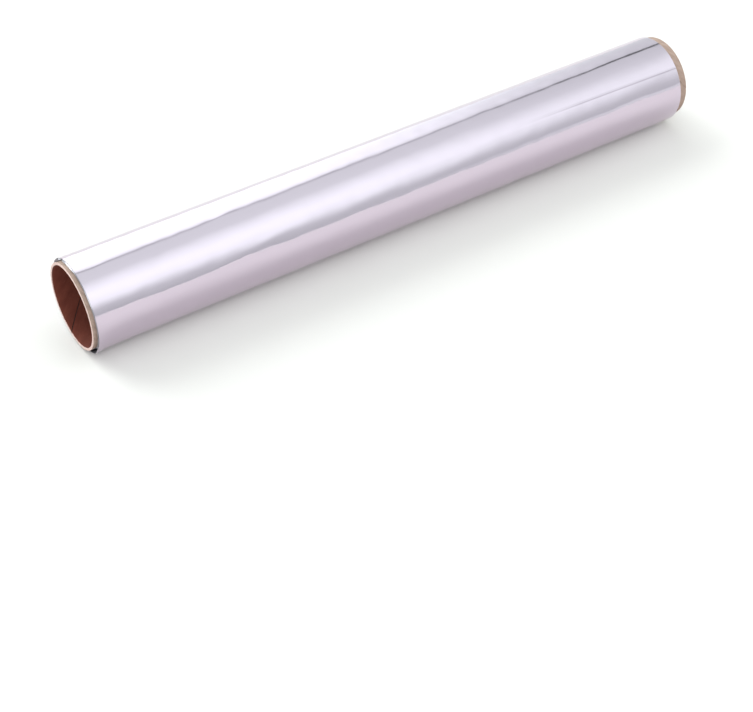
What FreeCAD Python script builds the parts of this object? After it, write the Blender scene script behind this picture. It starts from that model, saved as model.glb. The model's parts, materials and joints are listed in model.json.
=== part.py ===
import FreeCAD, Part
import math
import os

# Aluminium foil roll lying on its side: a spiral-wound cardboard core with the foil wound on it.
# Millimetres. The roll's axis lies along X, the near end at -X, and the floor is the plane z = 0.
# The origin is in the middle of the flat spot on which the roll rests.
# Angles round the roll are in degrees: 0 is the back (+Y), 90 the top, 180 the front, 270 the floor.

# Driving dimensions of the core
CORE_LENGTH = 306.5
CORE_BORE_D = 35.6
CORE_WALL = 1.15
PLY_WIDTH = 70.0
SEAM_WIDTH = 0.5
INNER_SEAM_DEPTH = 0.3
OUTER_SEAM_DEPTH = 0.25
INNER_SEAM_ANGLE = 286.0
OUTER_SEAM_ANGLE = 21.0

# Driving dimensions of the winding
FOIL_WIDTH = 300.0
NEAR_BARE_CORE = 1.9
CORE_CLEARANCE = 0.1
PACK_THICKNESS = 0.9
PACK_BANDS = 4
BAND_NEAR_STEPS = (0.25, 0.05, 0.35, 0.15)
BAND_FAR_STEPS = (0.1, 0.3, 0.0, 0.2)
TURN_THICKNESS = 0.12
GAP_TIGHT = 0.08
GAP_LOOSE = 0.3
FREE_EDGE_ANGLE = 338.0
LAP_ANGLE = 8.0
RAMP_ANGLE = 10.0
CLIMB_ANGLE = 20.0
FLAT_HALF_WIDTH = 2.5

# Places that follow from the driving dimensions
FLOOR_ANGLE = 270.0
FULL_TURN = 360.0
POINT_STEP = 6.0
CORE_BORE_R = CORE_BORE_D / 2
CORE_R = CORE_BORE_R + CORE_WALL
CORE_NEAR_X = -CORE_LENGTH / 2
FOIL_NEAR_X = CORE_NEAR_X + NEAR_BARE_CORE
FOIL_FAR_X = FOIL_NEAR_X + FOIL_WIDTH
PACK_BORE_R = CORE_R + CORE_CLEARANCE
PACK_R = PACK_BORE_R + PACK_THICKNESS
ROOT_DEPTH = TURN_THICKNESS / 2
PLY_SLOPE = PLY_WIDTH / (2 * math.pi * CORE_BORE_R)
SEAM_PITCH = PLY_WIDTH / math.sqrt(1 - PLY_SLOPE ** 2)

# The outermost turn is a circle that hangs below the roll's axis: tight at the top, loose below.
TURN_DROP = (GAP_LOOSE - GAP_TIGHT) / 2
TURN_R = PACK_R + (GAP_LOOSE + GAP_TIGHT) / 2 + TURN_THICKNESS
TURN_Z = math.sqrt(TURN_R ** 2 - FLAT_HALF_WIDTH ** 2)
AXIS_Z = TURN_Z + TURN_DROP
ROOT_ANGLE = FREE_EDGE_ANGLE - LAP_ANGLE - RAMP_ANGLE
RISE_ANGLE = ROOT_ANGLE - CLIMB_ANGLE


def at(centre_z, radius, angle):
    # A point of the section at the foil's near edge, from its radius and its angle.
    turned = math.radians(angle)
    return FreeCAD.Vector(FOIL_NEAR_X, radius * math.cos(turned), centre_z + radius * math.sin(turned))


def arc(centre_z, radius, start, end):
    ends = [at(centre_z, radius, angle) for angle in (start, (start + end) / 2, end)]
    return Part.Arc(*ends).toShape()


def line(start, end):
    return Part.LineSegment(start, end).toShape()


def lapped_points(radius):
    # The last stretch climbs on to the turn's own beginning, up to the free edge.
    steps = round((FREE_EDGE_ANGLE - RISE_ANGLE) / POINT_STEP)
    points = []
    for step in range(steps + 1):
        angle = RISE_ANGLE + (FREE_EDGE_ANGLE - RISE_ANGLE) * step / steps
        share = min((angle - RISE_ANGLE) / CLIMB_ANGLE, 1.0)
        climb = (TURN_THICKNESS + GAP_TIGHT) * (1 - math.cos(math.pi * share)) / 2
        points.append(at(TURN_Z, radius + climb, angle))
    return points


def smooth_edge(points):
    curve = Part.BSplineCurve()
    curve.interpolate(points)
    return curve.toShape()


def turn_side(radius, height):
    # One side of the outermost turn: round to the floor, flat where it rests, and on to its edge.
    flat = math.degrees(math.acos((TURN_Z - height) / radius))
    root_end = ROOT_ANGLE + RAMP_ANGLE - FULL_TURN
    lapped = lapped_points(radius)
    edges = [
        arc(TURN_Z, radius, root_end, FLOOR_ANGLE - flat),
        line(at(TURN_Z, radius, FLOOR_ANGLE - flat), at(TURN_Z, radius, FLOOR_ANGLE + flat)),
        arc(TURN_Z, radius, FLOOR_ANGLE + flat, RISE_ANGLE),
        smooth_edge(lapped),
    ]
    return edges, at(TURN_Z, radius, root_end), lapped[-1]


def loose_turn():
    # The outermost turn: rooted in the pack, once round with its slack, flat where it rests,
    # and lapped over its own beginning at the free edge.
    outside, outside_start, outside_end = turn_side(TURN_R, 0)
    inside, inside_start, inside_end = turn_side(TURN_R - TURN_THICKNESS, TURN_THICKNESS)
    root_r = PACK_R - ROOT_DEPTH
    root = arc(AXIS_Z, root_r, ROOT_ANGLE, ROOT_ANGLE + RAMP_ANGLE)
    joints = [
        line(at(AXIS_Z, root_r, ROOT_ANGLE), outside_start),
        line(outside_end, inside_end),
        line(inside_start, at(AXIS_Z, root_r, ROOT_ANGLE + RAMP_ANGLE)),
    ]
    edges = outside + inside + joints + [root]
    section = Part.Face(Part.Wire(Part.__sortEdges__(edges)))
    return section.extrude(FreeCAD.Vector(FOIL_WIDTH, 0, 0))


def pack_end(end_x, outward, steps):
    # The turns' edges at one end, from the outside in: bands of turns that stand out unevenly.
    points = []
    for band in range(PACK_BANDS):
        x = end_x + outward * steps[band % len(steps)]
        outer_r = PACK_R - PACK_THICKNESS * band / PACK_BANDS
        inner_r = PACK_R - PACK_THICKNESS * (band + 1) / PACK_BANDS
        points += [FreeCAD.Vector(x, 0, AXIS_Z + radius) for radius in (outer_r, inner_r)]
    return points


def turn_pack():
    # The tight turns below the outermost one, turned about the roll's axis.
    near = pack_end(FOIL_NEAR_X, -1, BAND_NEAR_STEPS)
    far = pack_end(FOIL_FAR_X, 1, BAND_FAR_STEPS)
    outline = near + far[::-1]
    profile = Part.Face(Part.makePolygon(outline + outline[:1]))
    return profile.revolve(FreeCAD.Vector(0, 0, AXIS_Z), FreeCAD.Vector(1, 0, 0), FULL_TURN)


def foil_winding():
    return turn_pack().fuse(loose_turn()).removeSplitter()


def seam_span(radius, depth, rim_angle, start_x, run):
    # One span of a butt joint between plies: a fine helical slot, right-handed along the roll.
    spine = Part.Wire(Part.makeHelix(SEAM_PITCH, run, radius).Edges)
    half = SEAM_WIDTH / 2
    corners = [
        FreeCAD.Vector(radius - depth, 0, -half),
        FreeCAD.Vector(radius + depth, 0, -half),
        FreeCAD.Vector(radius + depth, 0, half),
        FreeCAD.Vector(radius - depth, 0, half),
    ]
    sweep = Part.BRepOffsetAPI.MakePipeShell(spine)
    sweep.setBiNormalMode(FreeCAD.Vector(0, 0, 1))
    sweep.add(Part.makePolygon(corners + corners[:1]))
    sweep.build()
    sweep.makeSolid()
    span = sweep.shape()
    start_angle = rim_angle + FULL_TURN * (start_x - CORE_NEAR_X) / SEAM_PITCH
    lie_along_x = FreeCAD.Rotation(FreeCAD.Vector(0, 1, 0), 90)
    turn_about_x = FreeCAD.Rotation(FreeCAD.Vector(1, 0, 0), start_angle - FLOOR_ANGLE)
    place = FreeCAD.Vector(start_x, 0, AXIS_Z)
    span.Placement = FreeCAD.Placement(place, turn_about_x.multiply(lie_along_x))
    return span


def core_length(start_x, length):
    # A short length of the tube with its span of the inner and of the outer seam.
    start = FreeCAD.Vector(start_x, 0, AXIS_Z)
    along = FreeCAD.Vector(1, 0, 0)
    tube = Part.makeCylinder(CORE_R, length, start, along)
    tube = tube.cut(Part.makeCylinder(CORE_BORE_R, length, start, along))
    overrun = SEAM_PITCH / 50
    for radius, depth, rim_angle in (
        (CORE_BORE_R, INNER_SEAM_DEPTH, INNER_SEAM_ANGLE),
        (CORE_R, OUTER_SEAM_DEPTH, OUTER_SEAM_ANGLE),
    ):
        run = length + 2 * overrun
        tube = tube.cut(seam_span(radius, depth, rim_angle, start_x - overrun, run))
    return tube


def core_tube():
    # Plies of paperboard wound in a spiral and glued into one tube.
    # It is worked in lengths of under one turn of the seams, and the lengths are joined.
    count = math.ceil(CORE_LENGTH / SEAM_PITCH)
    length = CORE_LENGTH / count
    lengths = [core_length(CORE_NEAR_X + step * length, length) for step in range(count)]
    return lengths[0].fuse(lengths[1:]).removeSplitter()


os.makedirs("parts", exist_ok=True)
for name, shape in (("core_tube", core_tube()), ("foil_winding", foil_winding())):
    shape.exportStep("parts/" + name + ".step")
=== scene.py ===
import bpy
import json
import math
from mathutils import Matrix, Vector, noise


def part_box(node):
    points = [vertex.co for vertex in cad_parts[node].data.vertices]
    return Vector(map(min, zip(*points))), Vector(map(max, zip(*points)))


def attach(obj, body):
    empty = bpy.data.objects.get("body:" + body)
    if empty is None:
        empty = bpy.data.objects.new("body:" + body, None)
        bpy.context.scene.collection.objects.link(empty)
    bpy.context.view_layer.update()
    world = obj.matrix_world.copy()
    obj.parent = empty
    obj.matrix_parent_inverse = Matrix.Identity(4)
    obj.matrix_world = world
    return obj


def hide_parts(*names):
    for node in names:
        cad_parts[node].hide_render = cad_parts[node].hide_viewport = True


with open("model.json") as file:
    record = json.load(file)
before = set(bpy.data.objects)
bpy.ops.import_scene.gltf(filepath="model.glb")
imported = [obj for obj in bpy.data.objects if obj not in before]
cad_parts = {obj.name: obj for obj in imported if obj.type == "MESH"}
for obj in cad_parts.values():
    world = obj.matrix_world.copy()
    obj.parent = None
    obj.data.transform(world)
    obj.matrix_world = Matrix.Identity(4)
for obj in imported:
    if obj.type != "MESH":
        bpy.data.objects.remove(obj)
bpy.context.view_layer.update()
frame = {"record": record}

# Core tube
# The core is recycled paperboard: three plies wound in a spiral, glued into one tube and cut to length by
# a knife. Its two ends stand out of the foil. The butt joints of its first and last ply are fine helical
# seams.
MM = 0.001
bore_mount = next(mount for mount in frame["record"]["mounts"] if mount["name"] == "core_bore")
AXIS_Z = bore_mount["pos_m"][2]
BORE_R = bore_mount["dims"]["r_mm"] * MM
CORE_WALL = 1.15 * MM
CORE_R = BORE_R + CORE_WALL
core_low, core_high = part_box("core_tube")
PLIES = 3
PLY_WIDTH = 70.0 * MM
PLY_TURN = 2 * math.pi * BORE_R
SEAM_PITCH = PLY_WIDTH / math.sqrt(1 - (PLY_WIDTH / PLY_TURN) ** 2)
SEAM_WIDTH = 0.5 * MM
SEAM_HALF_TURN = 360 * SEAM_WIDTH / 2 / SEAM_PITCH
# In half widths of a seam: each of its walls, its sunk part, and how near an even column may stand.
SEAM_WALL = 0.2
SEAM_SUNK = 0.9
SEAM_CLEAR = 1.6
INNER_SEAM = {"angle": 286.0, "depth": 0.3 * MM}
OUTER_SEAM = {"angle": 21.0, "depth": 0.25 * MM}
CORE_COLUMN = 2.0
BORE_ROW = 1.6 * MM
FACE_ROW = 4.0 * MM
CUT_RINGS = 12
BOARD_UNEVEN = 0.02 * MM
BOARD_UNEVEN_SIZE = 3.0 * MM
CUT_FUZZ = 0.07 * MM
FUZZ_SIZE = 0.45 * MM
FINE_FUZZ_SIZE = 0.2 * MM
FINE_FUZZ_SHARE = 0.5
PLY_LINE_DEPTH = 0.05 * MM
PLY_LINE_HALF_WIDTH = 0.12
KNIFE_ROUNDING = 0.12 * MM
ROUNDED_SHARE = 0.25
SHARP_EDGE_ANGLE = 40.0
FIBRE_STRETCH = 4.0
LINER, CUT, FACE, JOINT_SHADED = 0, 1, 2, 3


def linear(sheet_colour):
    # An sRGB hex colour as linear red, green, blue and alpha.
    parts = [int(sheet_colour[i:i + 2], 16) / 255 for i in (1, 3, 5)]
    return [p / 12.92 if p <= 0.04045 else ((p + 0.055) / 1.055) ** 2.4 for p in parts] + [1.0]


def add_node(tree, kind, sockets, **settings):
    # One node with its settings, and each socket's value or the output that feeds it.
    made = tree.nodes.new(kind)
    for name, value in settings.items():
        setattr(made, name, value)
    for socket, value in sockets.items():
        if isinstance(value, bpy.types.NodeSocket):
            tree.links.new(value, made.inputs[socket])
        else:
            made.inputs[socket].default_value = value
    return made


def new_material(name):
    material = bpy.data.materials.new(name)
    material.use_nodes = True
    material.node_tree.nodes.clear()
    return material, material.node_tree


def at(radius, angle, x):
    # A point round the roll's axis: 0 is the back, 90 the top, 180 the front and 270 the floor.
    turned = math.radians(angle)
    return Vector((x, radius * math.cos(turned), AXIS_Z + radius * math.sin(turned)))


def build_mesh(name, points, faces, finishes, face_finish, chart):
    # A shaded mesh with its materials, and a flat chart of its surface in metres for their patterns.
    mesh = bpy.data.meshes.new(name)
    mesh.from_pydata(points, [], faces)
    for finish in finishes:
        mesh.materials.append(finish)
    mesh.polygons.foreach_set("material_index", face_finish)
    mesh.polygons.foreach_set("use_smooth", [True] * len(faces))
    layer = mesh.uv_layers.new(name="chart")
    for loop in mesh.loops:
        layer.data[loop.index].uv = chart[loop.vertex_index]
    mesh.set_sharp_from_angle(angle=math.radians(SHARP_EDGE_ANGLE))
    mesh.update()
    piece = bpy.data.objects.new(name, mesh)
    bpy.context.collection.objects.link(piece)
    return piece


def paperboard(name, pale, dark, fleck, roughness, mottle_mm, grain_mm):
    # Uncoated recycled paperboard: cloudy brown, flecked with fibres that run along the ply, and matte.
    # The chart is in metres, so a pattern's scale is 1000 over its size in millimetres.
    material, tree = new_material(name)
    chart = add_node(tree, "ShaderNodeUVMap", {}, uv_map="chart").outputs["UV"]
    mottle = add_node(tree, "ShaderNodeTexNoise", {
        "Vector": chart, "Scale": 1000 / mottle_mm, "Detail": 4.0, "Roughness": 0.6})
    along_ply = add_node(tree, "ShaderNodeMapping", {
        "Vector": chart, "Scale": (1 / FIBRE_STRETCH, 1.0, 1.0)}).outputs["Vector"]
    fibres = add_node(tree, "ShaderNodeTexNoise", {
        "Vector": along_ply, "Scale": 1000 / grain_mm, "Detail": 5.0, "Roughness": 0.7})
    flecks = add_node(tree, "ShaderNodeMapRange", {
        "Value": fibres.outputs["Fac"], "From Min": 0.58, "From Max": 0.72})
    tone = add_node(tree, "ShaderNodeMapRange", {
        "Value": mottle.outputs["Fac"], "From Min": 0.3, "From Max": 0.7})
    base = add_node(tree, "ShaderNodeMix", {
        "Factor": tone.outputs["Result"], "A": linear(dark), "B": linear(pale)}, data_type="RGBA")
    flecked = add_node(tree, "ShaderNodeMix", {
        "Factor": flecks.outputs["Result"], "A": base.outputs["Result"], "B": linear(fleck)},
        data_type="RGBA")
    bump = add_node(tree, "ShaderNodeBump", {
        "Height": fibres.outputs["Fac"], "Strength": 0.6, "Distance": 0.03 * MM})
    board = add_node(tree, "ShaderNodeBsdfPrincipled", {
        "Base Color": flecked.outputs["Result"], "Roughness": roughness, "IOR": 1.5,
        "Specular IOR Level": 0.25, "Normal": bump.outputs["Normal"]})
    add_node(tree, "ShaderNodeOutputMaterial", {"Surface": board.outputs["BSDF"]})
    return material


def seam_offset(angle, seam):
    # How far an angle is from a seam's middle, from -180 to 180 degrees.
    return (angle - seam["angle"] + 180) % 360 - 180


def on_inner_seam(angle):
    return abs(seam_offset(angle, INNER_SEAM)) < SEAM_HALF_TURN


def core_angles():
    # Even columns, with four of their own at the lips and the foot of each seam.
    angles = [CORE_COLUMN * i for i in range(round(360 / CORE_COLUMN))]
    for seam in (INNER_SEAM, OUTER_SEAM):
        angles = [a for a in angles if abs(seam_offset(a, seam)) > SEAM_HALF_TURN * SEAM_CLEAR]
        lips = (-1, SEAM_WALL - 1, 1 - SEAM_WALL, 1)
        angles += [seam["angle"] + lip * SEAM_HALF_TURN for lip in lips]
    return sorted(a % 360 for a in angles)


def seam_depth(angle, seam):
    sunk = abs(seam_offset(angle, seam)) < SEAM_HALF_TURN * SEAM_SUNK
    return seam["depth"] if sunk else 0.0


def core_point(x, angle, share, at_cut):
    # A point of the wall: share 0 is the bore and 1 the outer face. Columns follow the plies' slope.
    inside = BORE_R + seam_depth(angle, INNER_SEAM)
    outside = CORE_R - seam_depth(angle, OUTER_SEAM)
    turned = angle + 360 * (x - core_low.x) / SEAM_PITCH
    radius = inside + (outside - inside) * share
    place = at(radius, turned, x)
    if share in (0.0, 1.0):
        uneven = noise.noise(place / BOARD_UNEVEN_SIZE) * BOARD_UNEVEN
        radius += uneven if share == 0.0 else -abs(uneven)
    if at_cut:
        fuzz = noise.noise(place / FUZZ_SIZE) + FINE_FUZZ_SHARE * noise.noise(place / FINE_FUZZ_SIZE)
        from_middle = abs(share - 0.5) * 2
        lip = max(0.0, from_middle - (1 - ROUNDED_SHARE)) / ROUNDED_SHARE
        on_line = min(abs(share * PLIES - line) for line in range(1, PLIES)) < PLY_LINE_HALF_WIDTH
        sunk = KNIFE_ROUNDING * lip ** 2 + PLY_LINE_DEPTH * on_line + CUT_FUZZ * abs(fuzz)
        x += sunk if x < 0 else -sunk
    return at(radius, turned, x)


def even_steps(start, end, step):
    # Places from start to end, both included, evenly apart and about a step from each other.
    count = max(1, round(abs(end - start) / step))
    return [start + (end - start) * i / count for i in range(count + 1)]


# Rings run along the bore, over the far cut, back along the outer face and over the near cut.
angles = core_angles()
shares = [i / CUT_RINGS for i in range(1, CUT_RINGS)]
rings = [(x, 0.0, "bore") for x in even_steps(core_low.x, core_high.x, BORE_ROW)]
rings += [(core_high.x, share, "cut") for share in shares]
rings += [(x, 1.0, "face") for x in even_steps(core_high.x, core_low.x, FACE_ROW)]
rings += [(core_low.x, share, "cut") for share in reversed(shares)]
points = []
chart = []
for x, share, part in rings:
    at_cut = x in (core_low.x, core_high.x)
    for angle in angles:
        points.append(core_point(x, angle, share, at_cut))
        run = math.radians(angle) * BORE_R
        chart.append((x + run * PLY_WIDTH / PLY_TURN, run + share * (CORE_R - BORE_R)))
faces = []
finish_of_face = []
columns = len(angles)
for ring in range(len(rings)):
    after = (ring + 1) % len(rings)
    cut = rings[ring][2] == "cut" or rings[after][2] == "cut" or rings[ring][2] != rings[after][2]
    for i in range(columns):
        j = (i + 1) % columns
        faces.append((ring * columns + i, after * columns + i, after * columns + j, ring * columns + j))
        halfway = angles[i] + ((angles[j] - angles[i]) % 360) / 2
        # Faces on the inner seam take the joint's colour: glue, with painted shade for the groove.
        bore = JOINT_SHADED if on_inner_seam(halfway) else LINER
        wound = bore if rings[ring][2] == "bore" else FACE
        finish_of_face.append(CUT if cut else wound)
board_finishes = [
    # The inner ply, a kraft liner: deep red brown, faintly mottled, with the least trace of a sheen.
    paperboard("kraft_liner_wound", "#6F362A", "#5B271E", "#7E493C", 0.8, 6.0, 0.6),
    # The ends that the knife cut: pale, dusty and rough, with short fibres.
    paperboard("paperboard_knife_cut", "#DFC3BE", "#C0A19B", "#EAD6D2", 0.95, 0.8, 0.25),
    # The outer ply, recycled board: a dull greyish brown.
    paperboard("paperboard_wound_face", "#A38A80", "#8B746B", "#B59E96", 0.85, 3.0, 0.5),
    # The joint between two turns of the inner ply: a dark line of glue, made darker still by painted shade
    # for the groove.
    paperboard("glue_and_painted_shade_in_joint", "#402520", "#301B17", "#4E302A", 0.7, 3.0, 0.4),
]
core = build_mesh("core_tube_board", points, faces, board_finishes, finish_of_face, chart)
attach(core, "root")
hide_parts("core_tube")

# Foil winding
# Household foil, rolled aluminium, wound shiny side out: a tight pack of turns with unevenly trimmed edges,
# and round it the outermost turn, a little slack, dented by hands and flat where the roll lies on it.
# Lengths are in metres, except in the tables, which are in millimetres, and angles are in degrees.
NEAR_BARE_CORE = 1.9 * MM
FOIL_WIDTH = 300.0 * MM
CORE_CLEARANCE = 0.1 * MM
PACK_THICKNESS = 0.9 * MM
TURN_NEAR_X = core_low.x + NEAR_BARE_CORE
TURN_FAR_X = TURN_NEAR_X + FOIL_WIDTH
PACK_BORE_R = CORE_R + CORE_CLEARANCE
PACK_R = PACK_BORE_R + PACK_THICKNESS
# How far each band of turns stands out at its end, from the outside in.
PACK_BANDS = 4
BAND_NEAR_STEPS = (0.25, 0.05, 0.35, 0.15)
BAND_FAR_STEPS = (0.1, 0.3, 0.0, 0.2)
TURNS_PER_BAND = 6
TURN_EDGE_UNEVEN = 0.05 * MM
TURN_EDGE_PATCH = 4.0
TURN_EDGE_ROUNDING = 0.02 * MM
TURN_EDGE_POINTS = (0.05, 0.5, 0.95)
TURN_THICKNESS = 0.12 * MM
GAP_TIGHT = 0.08 * MM
GAP_LOOSE = 0.3 * MM
FLOOR_ANGLE = 270.0
FREE_EDGE_ANGLE = 338.0
RISE_ANGLE = 300.0
CLIMB_ANGLE = 20.0
ROOT_ANGLE = -40.0
LEAVE_ANGLE = -30.0
TURN_R = PACK_R + (GAP_LOOSE + GAP_TIGHT) / 2 + TURN_THICKNESS
TURN_Z = AXIS_Z - (GAP_LOOSE - GAP_TIGHT) / 2
PACK_COLUMN = 3.0
TURN_COLUMN = 2.0
FINE_COLUMN = 0.5
INSIDE_STRIDE = 3
PACK_ROW = 20.0 * MM
END_ROW = 0.5 * MM
END_REACH = 7.0 * MM
MIDDLE_ROW = 1.6 * MM
DENT_DEPTH = 0.14 * MM
DENT_LENGTH = 42.0 * MM
DENT_WIDTH = 9.0 * MM
DENT_SKEW = 0.22
BUCKLE_SHARE = 0.2
BUCKLE_LENGTH = 18.9 * MM
BUCKLE_WIDTH = 6.3 * MM
BUCKLE_SKEW = -0.5
RIPPLE_HEIGHT = 0.04 * MM
RIPPLE_LENGTH = 6.0 * MM
RIPPLE_WIDTH = 5.5 * MM
EMBOSSED_AT = (1.5, 2.5, 3.5, 5.5)
EMBOSSED_HEIGHT = 0.02 * MM
EMBOSSED_PATCHES = 1.3
NEAR_PATTERN, FAR_PATTERN = -2.0, 1.0
SHINY, SLIT_SHADED, DULL_SHADED = 0, 1, 2


def turn_section(angle, side):
    # The outermost turn's radius: side 0 is its outside and 1 its inside. It is rooted in the pack, and
    # climbs on to its own beginning before the free edge.
    if angle <= LEAVE_ANGLE:
        return PACK_R - TURN_THICKNESS / 2
    share = min(max((angle - RISE_ANGLE) / CLIMB_ANGLE, 0.0), 1.0)
    climb = (TURN_THICKNESS + GAP_TIGHT) * (1 - math.cos(math.pi * share)) / 2
    return TURN_R - side * TURN_THICKNESS + climb


def dent(x, angle):
    # How far the slack foil stands out: shallow dents and small buckles that run askew along the roll,
    # and fine ripples. The last number of each noise place only picks another pattern.
    run = math.radians(angle) * TURN_R
    broad = noise.noise(Vector((x / DENT_LENGTH, (run + DENT_SKEW * x) / DENT_WIDTH, 3.0)))
    buckle = noise.noise(Vector((x / BUCKLE_LENGTH, (run + BUCKLE_SKEW * x) / BUCKLE_WIDTH, 8.0)))
    ripple = noise.noise(Vector((x / RIPPLE_LENGTH, run / RIPPLE_WIDTH, 5.0)))
    dented = 0.5 + 0.5 * broad + BUCKLE_SHARE * abs(buckle)
    return DENT_DEPTH * dented + RIPPLE_HEIGHT * ripple


def embossed(x, angle):
    # Edges of the turns below, pressed through as fine rings near the ends, and fading round the roll.
    from_end = min(x - TURN_NEAR_X, TURN_FAR_X - x)
    pattern = NEAR_PATTERN if x < 0 else FAR_PATTERN
    height = 0.0
    for number, place in enumerate(EMBOSSED_AT):
        patch = noise.noise(Vector((math.radians(angle) * EMBOSSED_PATCHES, number * 5.0, pattern)))
        fade = 0.5 + 0.8 * patch
        if abs(from_end - place * MM) < END_ROW / 2:
            height += EMBOSSED_HEIGHT * max(0.0, fade)
    return height


# Each crease starts and ends at a place along the roll and an angle. The first runs on past the far end, so
# that it doesn't fade there.
CREASES = (
    {"start": (48.0, 131.6), "end": (190.0, 137.2), "half_width": 0.38, "height": 0.15},
    {"start": (-112.0, 164.5), "end": (-52.0, 143.0), "half_width": 2.0, "height": 0.08},
    {"start": (-140.0, 157.0), "end": (-96.0, 165.0), "half_width": 2.0, "height": 0.05},
    {"start": (-91.0, 103.6), "end": (-83.0, 101.2), "half_width": 0.8, "height": 0.06},
)
CREASE_FADE = 3


def creased(x, angle):
    # Folds that hands left in the slack foil: fine sharp ones, and long shallow ones that run askew.
    height = 0.0
    for fold in CREASES:
        (start_x, start_angle), (end_x, end_angle) = fold["start"], fold["end"]
        share = (x / MM - start_x) / (end_x - start_x)
        if 0 < share < 1:
            line_angle = start_angle + (end_angle - start_angle) * share
            off_line = math.radians(angle - line_angle) * TURN_R / MM
            fade = min(1.0, CREASE_FADE * share, CREASE_FADE * (1 - share))
            height += fold["height"] * MM * fade * math.exp(-(off_line / fold["half_width"]) ** 2)
    return height


# Round the roll, each place has its middle's angle and its half width in degrees.
BUMPED_PLACES = (
    {"angle": 230.0, "half_width": 15.0, "lift": 0.7, "reach": 4.0, "crushed": 15.0},
    {"angle": 62.0, "half_width": 6.0, "lift": 0.05, "reach": 3.0, "crushed": 12.0},
)
SLACK_TURNS = {"angle": 160.0, "half_width": 65.0, "thickness": 0.45, "set_back": 3.5}
SLACK_PATCH = 7.0


def peak_at(angle, place):
    # 1 in the middle of a place, falling evenly to 0 at both its sides.
    return max(0.0, 1 - abs(angle - place["angle"]) / place["half_width"])


def lifted(x, angle):
    # Where the near end was knocked, the outermost turn's edge stands away from the pack in a small peak.
    height = 0.0
    for place in BUMPED_PLACES:
        fade = math.exp(-(x - TURN_NEAR_X) / (place["reach"] * MM))
        height += place["lift"] * MM * peak_at(angle, place) * fade
    return height


def crushed(x, radius, angle):
    # There the edges of the tight turns are pushed back, which leaves a dark pocket. Along the front the
    # innermost turns lie a little back as well, with a fine dark line between them and the core.
    if x > TURN_NEAR_X + END_REACH:
        return 0.0
    depth = 0.0
    for place in BUMPED_PLACES:
        depth += place["crushed"] * MM * min(1.0, 2 * peak_at(angle, place))
    if radius < PACK_BORE_R + SLACK_TURNS["thickness"] * MM:
        broken = 0.6 + 0.8 * noise.noise(Vector((angle / SLACK_PATCH, 4.0, 2.0)))
        depth += SLACK_TURNS["set_back"] * MM * peak_at(angle, SLACK_TURNS) * broken
    return depth


def turn_point(x, angle, side):
    # A point of the outermost turn, with all that handling did to it. The floor presses it flat below.
    radius = turn_section(angle, side)
    if angle > LEAVE_ANGLE:
        radius += dent(x, angle) + creased(x, angle) + embossed(x, angle) + lifted(x, angle)
    place = at(radius, angle, x)
    place.z += TURN_Z - AXIS_Z
    place.z = max(place.z, TURN_THICKNESS if side else 0.0)
    if x in (TURN_NEAR_X, TURN_FAR_X):
        place.x += TURN_EDGE_UNEVEN / 2 * noise.noise(Vector((angle / TURN_EDGE_PATCH, side, x)))
    return place


# Rolling lines go round the roll. They are 0.1 mm apart, and drawn 0.8 mm apart so that they show.
ROLLING_LINES_MM = (0.8, 30.0)
# Smears of rolling oil and of fingers, along the roll and round it.
SMEARS_MM = (12.0, 60.0)


def foil_metal(name, colour, roughness, streak, line_height):
    # Rolled aluminium foil: bright, smoother along the rolling than across it, so that what it mirrors is
    # drawn out a little across the rolling lines.
    material, tree = new_material(name)
    chart = add_node(tree, "ShaderNodeUVMap", {}, uv_map="chart").outputs["UV"]
    line_scale, smear_scale = [
        (1000 / along, 1000 / round_roll, 1.0) for along, round_roll in (ROLLING_LINES_MM, SMEARS_MM)]
    across = add_node(tree, "ShaderNodeMapping", {
        "Vector": chart, "Scale": line_scale}).outputs["Vector"]
    lines = add_node(tree, "ShaderNodeTexNoise", {
        "Vector": across, "Scale": 1.0, "Detail": 3.0, "Roughness": 0.55})
    wide = add_node(tree, "ShaderNodeMapping", {
        "Vector": chart, "Scale": smear_scale}).outputs["Vector"]
    smears = add_node(tree, "ShaderNodeTexNoise", {
        "Vector": wide, "Scale": 1.0, "Detail": 2.0, "Roughness": 0.5})
    matte = add_node(tree, "ShaderNodeMapRange", {
        "Value": smears.outputs["Fac"], "From Min": 0.3, "From Max": 0.7,
        "To Min": roughness - streak, "To Max": roughness + streak})
    bump = add_node(tree, "ShaderNodeBump", {
        "Height": lines.outputs["Fac"], "Strength": 1.0, "Distance": line_height})
    along = add_node(tree, "ShaderNodeTangent", {}, direction_type="UV_MAP", uv_map="chart")
    metal = add_node(tree, "ShaderNodeBsdfPrincipled", {
        "Base Color": linear(colour), "Metallic": 1.0, "Roughness": matte.outputs["Result"],
        "Anisotropic": 0.5, "Tangent": along.outputs["Tangent"], "Normal": bump.outputs["Normal"]})
    add_node(tree, "ShaderNodeOutputMaterial", {"Surface": metal.outputs["BSDF"]})
    return material


def foil_rows():
    # Places along the roll, closer together at the two ends.
    near = even_steps(TURN_NEAR_X, TURN_NEAR_X + END_REACH, END_ROW)
    far = even_steps(TURN_FAR_X - END_REACH, TURN_FAR_X, END_ROW)
    return near + even_steps(near[-1], far[0], MIDDLE_ROW)[1:-1] + far


def turn_angles():
    # Even columns, closer along the fine crease and at the pressed flat, and one at each end of the turn.
    half_flat = math.degrees(math.acos(TURN_Z / TURN_R))
    flat = [FLOOR_ANGLE + half_flat * share for share in (-1.0, -0.5, 0.0, 0.5, 1.0)]
    fine_low, fine_high = CREASES[0]["start"][1] - TURN_COLUMN, CREASES[0]["end"][1]
    even = even_steps(LEAVE_ANGLE + TURN_COLUMN, FREE_EDGE_ANGLE, TURN_COLUMN)
    even = [a for a in even if abs(a - FLOOR_ANGLE) > half_flat + TURN_COLUMN / 2]
    even = [a for a in even if not fine_low - FINE_COLUMN < a < fine_high + FINE_COLUMN]
    fine = even_steps(fine_low, fine_high, FINE_COLUMN)
    return [ROOT_ANGLE, LEAVE_ANGLE] + sorted(even + fine + flat)


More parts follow.
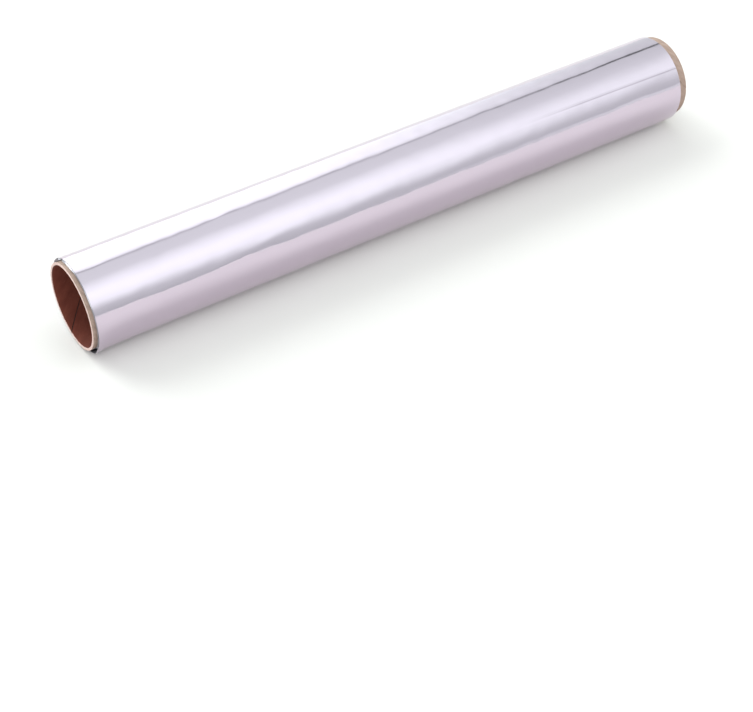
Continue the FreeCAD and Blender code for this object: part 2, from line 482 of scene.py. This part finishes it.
def turn_shell():
    # The outermost turn as a closed thin sheet: shiny outside, dull inside, and its slit edges.
    rows = foil_rows()
    outside = turn_angles()
    last = len(outside) - 1
    kept = list(range(1, last, INSIDE_STRIDE)) + [last]
    path = [(angle, 0) for angle in outside] + [(outside[k], 1) for k in reversed(kept)]
    across = len(path)
    made = []
    flat = []
    for x in rows:
        for angle, side in path:
            made.append(turn_point(x, angle, side))
            flat.append((x, math.radians(angle) * TURN_R))
    sheet = []
    finish = []
    for row in range(len(rows) - 1):
        corner = row * across
        for i in range(across):
            j = (i + 1) % across
            sheet.append((corner + i, corner + j, corner + across + j, corner + across + i))
            finish.append(SHINY if i < last else (SLIT_SHADED if i == last else DULL_SHADED))
    # Each end is closed by strips between the outside columns and the fewer inside ones.
    for row, order in ((0, -1), (len(rows) - 1, 1)):
        corner = row * across
        ends = [[0, 1, across - 1]]
        for n in range(len(kept) - 1):
            outer = list(range(kept[n], kept[n + 1] + 1))
            ends.append(outer + [across - 2 - n, across - 1 - n])
        sheet += [tuple(corner + i for i in end)[::order] for end in ends]
        finish += [SLIT_SHADED] * len(ends)
    return made, flat, sheet, finish


def pack_profile():
    # The pack's section: its outside, its turn edges at the far end, its bore and its turn edges at the
    # near end. The edges stand out by band, and a little by turn.
    rings = []
    turns = PACK_BANDS * TURNS_PER_BAND
    for end_x, outward, steps in ((TURN_NEAR_X, -1, BAND_NEAR_STEPS), (TURN_FAR_X, 1, BAND_FAR_STEPS)):
        edge = []
        for turn in range(turns):
            step = steps[turn // TURNS_PER_BAND % len(steps)] * MM
            # The noise places lie far apart, so that no two turns and no two ends are alike.
            step -= TURN_EDGE_UNEVEN * (0.5 + 0.5 * noise.noise(Vector((turn * 2.7, end_x * 90, 1.0))))
            for share in TURN_EDGE_POINTS:
                sunk = 0.0 if share == 0.5 else TURN_EDGE_ROUNDING
                radius = PACK_R - (turn + share) / turns * (PACK_R - PACK_BORE_R)
                edge.append((end_x + outward * (step - sunk), radius))
        rings.append(edge)
    near, far = rings
    outer = [(x, PACK_R) for x in even_steps(TURN_NEAR_X, TURN_FAR_X, PACK_ROW)]
    inner = [(x, PACK_BORE_R) for x in even_steps(TURN_FAR_X, TURN_NEAR_X, PACK_ROW)]
    return outer, far, inner, near[::-1]


points, chart, faces, finish_of_face = turn_shell()
profile = []
for at_end, ring in zip((False, True, False, True), pack_profile()):
    profile += [(x, radius, at_end) for x, radius in ring]
first = len(points)
columns = round(360 / PACK_COLUMN)
for x, radius, at_end in profile:
    for i in range(columns):
        angle = PACK_COLUMN * i
        points.append(at(radius, angle, x + crushed(x, radius, angle)))
        chart.append((x + radius, math.radians(angle) * PACK_R))
for ring in range(len(profile)):
    after = (ring + 1) % len(profile)
    slit = profile[ring][2] or profile[after][2]
    for i in range(columns):
        j = (i + 1) % columns
        near, far = first + ring * columns, first + after * columns
        faces.append((near + i, near + j, far + j, far + i))
        finish_of_face.append(SLIT_SHADED if slit else SHINY)
foil_finishes = [
    # The side that the polished roll pressed: nearly a mirror, with soft edges to what it mirrors.
    foil_metal("aluminium_foil_shiny_side", "#CEC1CF", 0.12, 0.03, 0.0012 * MM),
    # Edges of the turns, slit by knives: a close stack of thin edges, satin, their grey darkened by painted
    # shade between the edges and in the pocket.
    foil_metal("aluminium_foil_slit_edges_painted_shade", "#A8A3AA", 0.32, 0.05, 0.004 * MM),
    # The side that lay on another sheet in the last rolling: satin, and its dark grey is painted shade,
    # darker than the metal, for the slack gap and the pocket where it shows.
    foil_metal("aluminium_foil_dull_side_painted_shade", "#7C787F", 0.42, 0.05, 0.003 * MM),
]
winding = build_mesh("foil_winding_metal", points, faces, foil_finishes, finish_of_face, chart)
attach(winding, "root")
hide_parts("foil_winding")

# Floor
# A wide sheet of matt paper lies under the roll. It is so pale that the light washes it out to white beyond
# the roll's own shadow.
FLOOR_HALF = 6.0
FLOOR_COLOUR = "#D3CCCC"
PAPER_GRAIN_MM = 1.5
corners = [(FLOOR_HALF * x, FLOOR_HALF * y) for x, y in ((-1, -1), (1, -1), (1, 1), (-1, 1))]
# Uncoated paper scatters all light evenly and mirrors nothing. Its grain barely shows.
paper, tree = new_material("pale_paper_matt")
paper_grain = add_node(tree, "ShaderNodeTexNoise", {"Scale": 1000 / PAPER_GRAIN_MM, "Detail": 2.0})
paper_bump = add_node(tree, "ShaderNodeBump", {
    "Height": paper_grain.outputs["Fac"], "Strength": 0.05, "Distance": 0.02 * MM})
paper_surface = add_node(tree, "ShaderNodeBsdfDiffuse", {
    "Color": linear(FLOOR_COLOUR), "Normal": paper_bump.outputs["Normal"]})
add_node(tree, "ShaderNodeOutputMaterial", {"Surface": paper_surface.outputs["BSDF"]})
floor_points = [Vector((x, y, 0.0)) for x, y in corners]
floor = build_mesh("paper_floor", floor_points, [(0, 1, 2, 3)], [paper], [0], corners)

# Studio light
# White cards stand round the roll, and they are its light: a bright one low at the back, a soft one high
# at the front, and three small ones that light the bore, the core's ends and the floor.
HALF_TURN = 180
CARD_TINT = "#F4FFFC"
# Each tone is the light that the foil mirrors, by its angle from the back horizon, over the top, to the
# front one. The near tones are for the near end of the roll and the far tones for its far end.
NEAR_TONES = (
    (0, 1.93), (58, 1.93), (66.2, 1.55), (67.2, 1.13), (85, 1.15), (97, 1.18), (115, 1.6), (126, 1.77),
    (138, 1.77), (150, 1.6), (165, 0.94), (180, 0.75))
FAR_TONES = (
    (0, 0.97), (66.2, 0.93), (67.2, 0.93), (85, 1.01), (97, 1.08), (112, 1.26), (122, 1.42), (137, 1.5),
    (152, 1.14), (163, 0.92), (174, 0.82), (175, 1.15), (180, 1.15))
TONE_SCALE = 2.0
# Where the room, the far tones, the skew and the gap begin and end, by the x of a direction.
ROOM_FROM, ROOM_TO = -0.75, -0.3
FAR_FROM, FAR_TO = 0.38, 0.62
SKEW_FROM, SKEW_TO = 0.289, 0.591
GAP_FROM, GAP_TO = 0.5, 0.59
ROOM_TONE = 0.5
SKEW_LEFT = 0.845
GAP_ANGLE, GAP_HALF = 69.1, 2.4
GAP_SHADE_NEAR, GAP_SHADE_FAR = 0.3, 0.9
SIDE_CARDS = (
    {"towards": (-0.3, 0.75, 0.59), "tone": 6.0},
    {"towards": (0.93, -0.12, 0.34), "tone": 1.5},
    {"towards": (-0.3, -0.74, 0.6), "tone": 3.2},
)
SIDE_CARD_EDGES = (24.0, 14.0)
BACKDROP_LEVEL = 1.0
world = bpy.data.worlds.new("studio_cards")
world.use_nodes = True
tree = world.node_tree
tree.nodes.clear()
direction = add_node(tree, "ShaderNodeTexCoord", {}).outputs["Generated"]
parts = add_node(tree, "ShaderNodeSeparateXYZ", {"Vector": direction})
over = add_node(tree, "ShaderNodeMath", {
    0: parts.outputs["Z"], 1: parts.outputs["Y"]}, operation="ARCTAN2").outputs["Value"]
from_front = add_node(tree, "ShaderNodeMath", {
    0: over, 1: -1 / math.pi, 2: 1.0}, operation="MULTIPLY_ADD").outputs["Value"]
# The cards stand a little askew to the roll, so their edges come down towards its far end.
skew = add_node(tree, "ShaderNodeMapRange", {
    "Value": parts.outputs["X"], "From Min": SKEW_FROM, "From Max": SKEW_TO,
    "To Min": -1.0, "To Max": -SKEW_LEFT}).outputs["Result"]
place = add_node(tree, "ShaderNodeMath", {
    0: from_front, 1: skew, 2: 1.0}, operation="MULTIPLY_ADD").outputs["Value"]
ramps = []
for tones in (NEAR_TONES, FAR_TONES):
    ramp = add_node(tree, "ShaderNodeValToRGB", {"Fac": place})
    stops = ramp.color_ramp.elements
    while len(stops) < len(tones):
        stops.new(0.5)
    for stop, (angle, tone) in zip(stops, tones):
        stop.position = angle / HALF_TURN
        stop.color = [part * tone / TONE_SCALE for part in linear(CARD_TINT)[:3]] + [1.0]
    ramps.append(ramp.outputs["Color"])
far_share = add_node(tree, "ShaderNodeMapRange", {
    "Value": parts.outputs["X"], "From Min": FAR_FROM, "From Max": FAR_TO},
    interpolation_type="SMOOTHSTEP")
mixed = add_node(tree, "ShaderNodeMix", {
    "Factor": far_share.outputs["Result"], "A": ramps[0], "B": ramps[1]}, data_type="RGBA")
# Between the back card and the one above it is a gap, faint at the near end and dark at the far end.
in_gap = add_node(tree, "ShaderNodeMath", {
    0: place, 1: GAP_ANGLE / HALF_TURN, 2: GAP_HALF / HALF_TURN},
    operation="COMPARE").outputs["Value"]
gap_open = add_node(tree, "ShaderNodeMapRange", {
    "Value": parts.outputs["X"], "From Min": GAP_FROM, "From Max": GAP_TO,
    "To Min": -GAP_SHADE_NEAR, "To Max": -GAP_SHADE_FAR},
    interpolation_type="SMOOTHSTEP").outputs["Result"]
lit = add_node(tree, "ShaderNodeMath", {
    0: in_gap, 1: gap_open, 2: 1.0}, operation="MULTIPLY_ADD").outputs["Value"]
# Off the roll's near end there is no card, only the dim room, so the bore darkens inwards.
room = add_node(tree, "ShaderNodeMapRange", {
    "Value": parts.outputs["X"], "From Min": ROOM_FROM, "From Max": ROOM_TO,
    "To Min": ROOM_TONE * TONE_SCALE, "To Max": TONE_SCALE}).outputs["Result"]
card_level = add_node(tree, "ShaderNodeMath", {
    0: lit, 1: room}, operation="MULTIPLY").outputs["Value"]
cards = add_node(tree, "ShaderNodeBackground", {
    "Color": mixed.outputs["Result"], "Strength": card_level}).outputs["Background"]
# The small cards glow softly from their edges inwards.
edge_outer, edge_inner = [math.cos(math.radians(angle)) for angle in SIDE_CARD_EDGES]
for side_card in SIDE_CARDS:
    card_cosine = add_node(tree, "ShaderNodeVectorMath", {
        0: direction, 1: Vector(side_card["towards"]).normalized()},
        operation="DOT_PRODUCT").outputs["Value"]
    level = add_node(tree, "ShaderNodeMapRange", {
        "Value": card_cosine, "From Min": edge_outer, "From Max": edge_inner,
        "To Min": 0.0, "To Max": side_card["tone"]},
        interpolation_type="SMOOTHSTEP").outputs["Result"]
    glow = add_node(tree, "ShaderNodeBackground", {"Color": linear(CARD_TINT), "Strength": level})
    cards = add_node(tree, "ShaderNodeAddShader", {
        0: cards, 1: glow.outputs["Background"]}).outputs["Shader"]
# Beyond the floor the camera sees a plain white backdrop.
backdrop = add_node(tree, "ShaderNodeBackground", {
    "Color": linear("#FFFFFF"), "Strength": BACKDROP_LEVEL})
seen = add_node(tree, "ShaderNodeLightPath", {}).outputs["Is Camera Ray"]
shown = add_node(tree, "ShaderNodeMixShader", {
    0: seen, 1: cards, 2: backdrop.outputs["Background"]})
add_node(tree, "ShaderNodeOutputWorld", {"Surface": shown.outputs["Shader"]})
bpy.context.scene.world = world
bpy.context.scene.view_settings.view_transform = "Standard"

# Camera
# It stands in front of the near end and looks down along the roll, as the photographer did. The lens is a
# longish one, so the far end looks only a little smaller than the near one.
SENSOR_WIDTH = 36.0
LENS_LENGTH = 81.34
CAMERA_PLACE = (-335.57 * MM, -500.0 * MM, AXIS_Z + 442.99 * MM)
CAMERA_DOWN = 42.19
CAMERA_TURNED = -33.30
camera_data = bpy.data.cameras.new("camera")
camera_data.sensor_width = SENSOR_WIDTH
camera_data.lens = LENS_LENGTH
camera = bpy.data.objects.new("camera", camera_data)
camera.location = CAMERA_PLACE
camera.rotation_euler = (math.radians(90 - CAMERA_DOWN), 0.0, math.radians(CAMERA_TURNED))
bpy.context.collection.objects.link(camera)
bpy.context.scene.camera = camera
